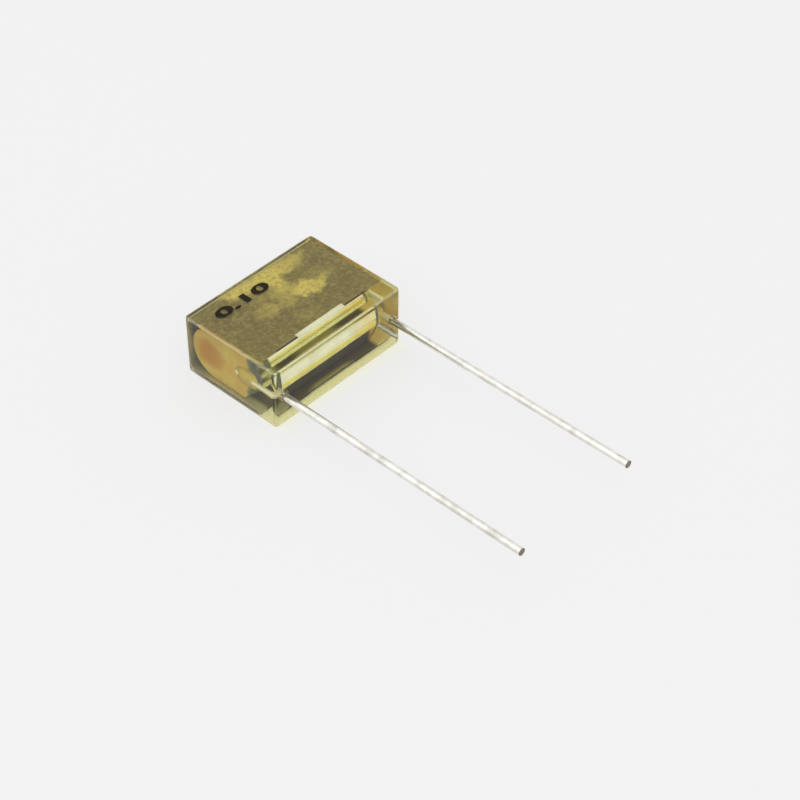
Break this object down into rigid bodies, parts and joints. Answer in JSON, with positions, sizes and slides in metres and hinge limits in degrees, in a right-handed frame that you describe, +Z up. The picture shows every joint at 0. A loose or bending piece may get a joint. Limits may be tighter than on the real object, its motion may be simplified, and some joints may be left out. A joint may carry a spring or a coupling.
{
  "type": "box film capacitor",
  "caption": "Film capacitor cast in a clear amber resin block, with its wrapped flat winding in view and straight tinned wire leads out of one long narrow face.",
  "frame": {"origin": "centre of the large face that the block lies on", "axes": "+Z is up, out of the opposite large face; -Y is the way the leads leave; +X runs from the left lead to the right lead"},
  "size_m": [0.0176, 0.0425, 0.007],
  "materials": {
    "clear_resin": "clear amber, smooth",
    "metallised_film": "metallised, glossy",
    "wrap_sheet": "metallised, mottled",
    "sprayed_metal": "rough, sprayed",
    "solder": "satin",
    "tinned_wire": "bright tinned"
  },
  "bodies": {
    "root": {"resin_block": "clear_resin", "winding": "metallised_film", "outer_wrap": "wrap_sheet", "end_spray_left": "sprayed_metal", "end_spray_right": "sprayed_metal", "solder_joint_left": "solder", "solder_joint_right": "solder", "lead_left": "tinned_wire", "lead_right": "tinned_wire"}
  },
  "joints": []
}
